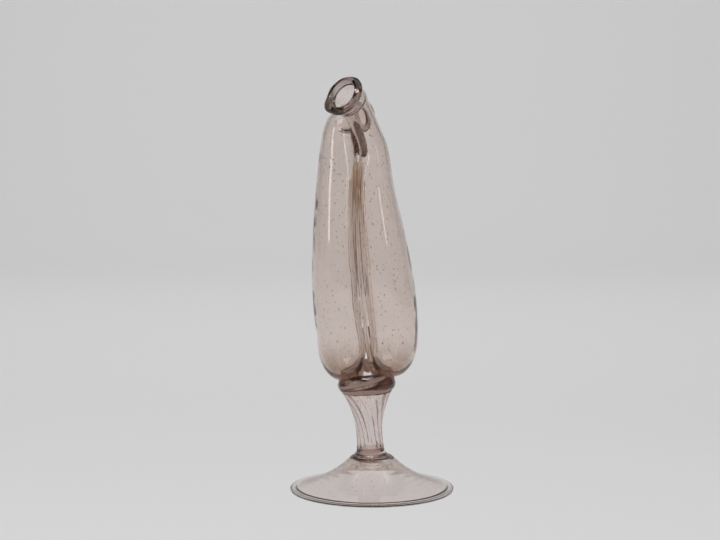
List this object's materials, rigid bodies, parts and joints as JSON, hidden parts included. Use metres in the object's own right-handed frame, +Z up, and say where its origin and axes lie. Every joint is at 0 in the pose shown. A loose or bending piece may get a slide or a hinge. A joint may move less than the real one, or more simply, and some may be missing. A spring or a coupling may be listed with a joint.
{
  "type": "twin-chamber footed cruet",
  "caption": "Free-blown glass cruet with two pressed-together chambers, crossed necks with ringed mouths, a collar, a hollow waisted stem and a flared foot.",
  "frame": {"origin": "centre of the foot's outline, on the surface it stands on", "axes": "+Z up along the stem; +X to the right and -Y towards the viewer, who sees the larger mouth at the upper left"},
  "size_m": [0.094, 0.094, 0.2359],
  "materials": {
    "blown_glass": "thin pale brown-pink free-blown glass with seeds and faint draw lines",
    "lip_glass": "thick brown-violet glass, fire polished",
    "seam_glass": "trailed brown glass with an amber residue",
    "collar_glass": "solid brown-grey glass",
    "foot_glass": "thin pale pink-grey glass"
  },
  "bodies": {
    "root": {"left_vessel": "blown_glass", "right_vessel": "blown_glass", "front_neck": "blown_glass", "rear_neck": "blown_glass", "front_rim": "lip_glass", "rear_rim": "lip_glass", "front_seam": "seam_glass", "rear_seam": "seam_glass", "neck_weld": "seam_glass", "collar": "collar_glass", "stem": "foot_glass", "stem_weld": "collar_glass", "foot": "foot_glass", "pontil_mark": "collar_glass"}
  },
  "joints": []
}
